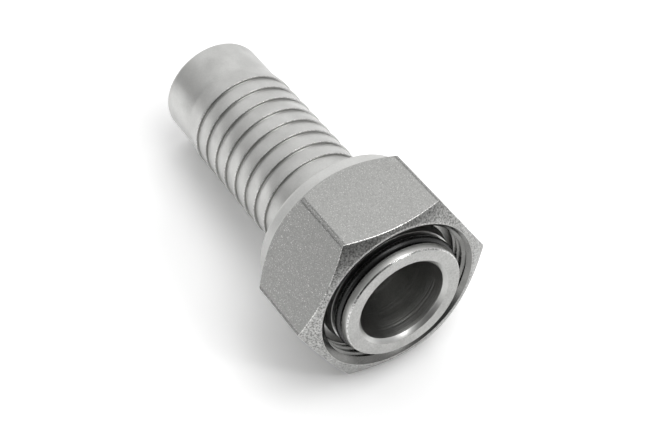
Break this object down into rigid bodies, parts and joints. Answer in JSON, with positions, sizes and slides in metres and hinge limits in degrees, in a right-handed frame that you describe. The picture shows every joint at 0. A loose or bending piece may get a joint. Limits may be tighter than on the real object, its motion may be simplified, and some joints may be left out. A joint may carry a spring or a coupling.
{
  "type": "hydraulic hose fitting",
  "caption": "Straight hydraulic hose fitting: a swivelling hexagon nut on a cone-ended, barbed steel hose stem with an O-ring.",
  "frame": {"origin": "on the fitting's axis, in the plane of the swivel nut's front rim", "axes": "+X along the axis, out of the nut's open front; +Z square to the nut's upper flat; +Y across the nut's corners"},
  "size_m": [0.1024, 0.0578, 0.05],
  "materials": {
    "nut_steel": "bright zinc plated",
    "stem_steel": "turned and zinc plated",
    "ring_rubber": "smooth"
  },
  "bodies": {
    "nut": {"swivel_nut": "nut_steel"},
    "stem": {"hose_stem": "stem_steel", "o_ring": "ring_rubber"}
  },
  "joints": [
    {"name": "nut_swivel", "type": "hinge", "parent": "nut", "child": "stem", "pos_m": [0, 0, 0], "axis": [1, 0, 0], "continuous": true}
  ]
}
